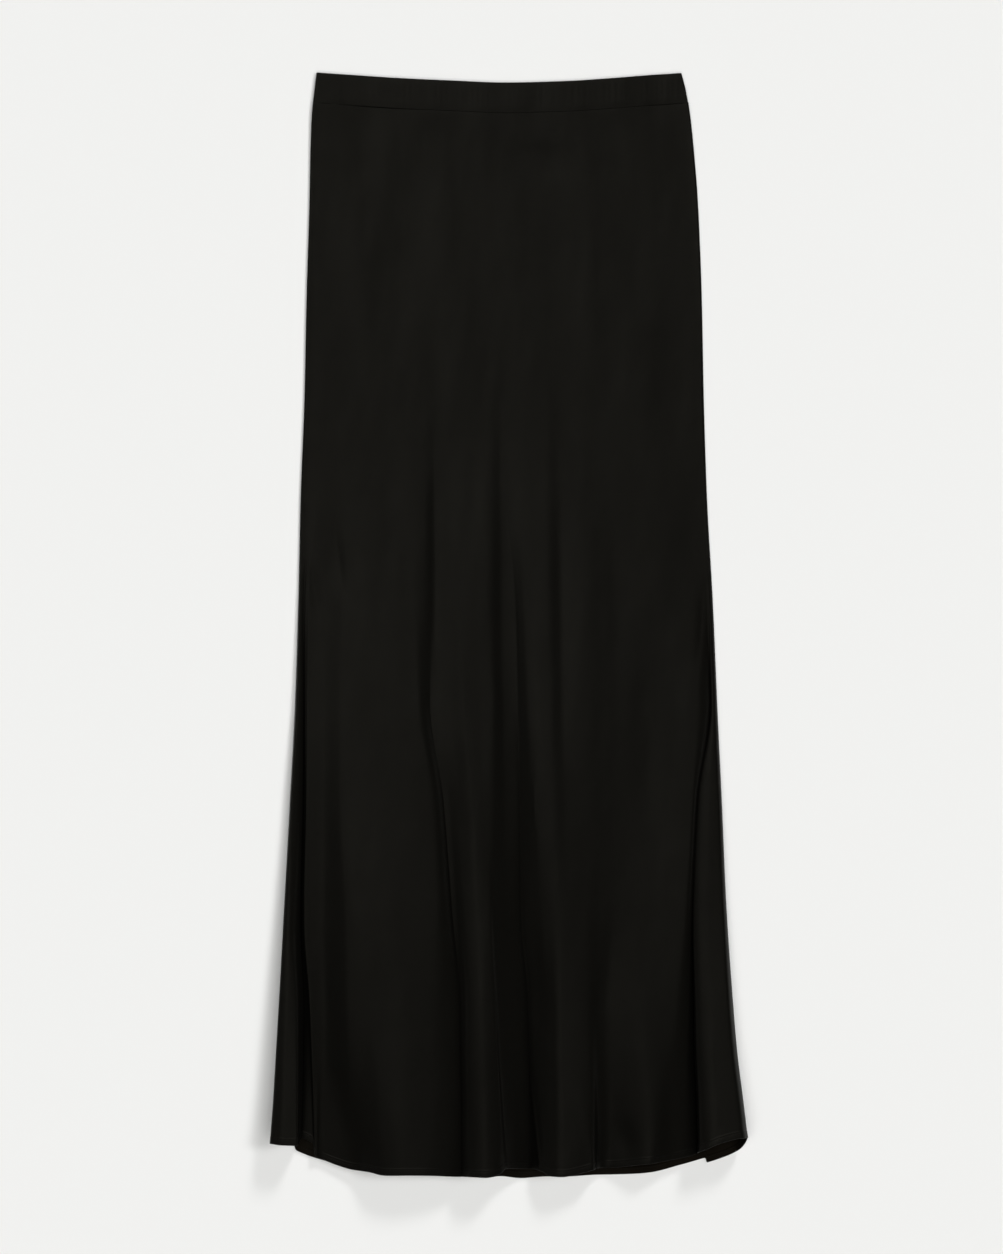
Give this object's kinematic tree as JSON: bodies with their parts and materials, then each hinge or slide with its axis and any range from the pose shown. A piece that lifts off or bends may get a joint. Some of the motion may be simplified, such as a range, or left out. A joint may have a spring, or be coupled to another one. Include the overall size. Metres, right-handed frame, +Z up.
{
  "type": "slip skirt",
  "caption": "Long black bias-cut slip skirt with a narrow elastic waistband, laid flat, its hem standing in soft flutes.",
  "frame": {"origin": "on the surface it lies on, under the middle of the laid skirt's box", "axes": "+Y along the skirt towards the waist, +X to the right as its front is seen, +Z up out of the front"},
  "size_m": [0.4388, 1.016, 0.0283],
  "materials": {
    "crepe": "near-black fine crepe with a soft, low sheen",
    "waistband": "the same crepe over soft elastic"
  },
  "bodies": {
    "root": {"front_panel": "crepe", "back_panel": "crepe", "waistband_front": "waistband", "waistband_back": "waistband"}
  },
  "joints": []
}
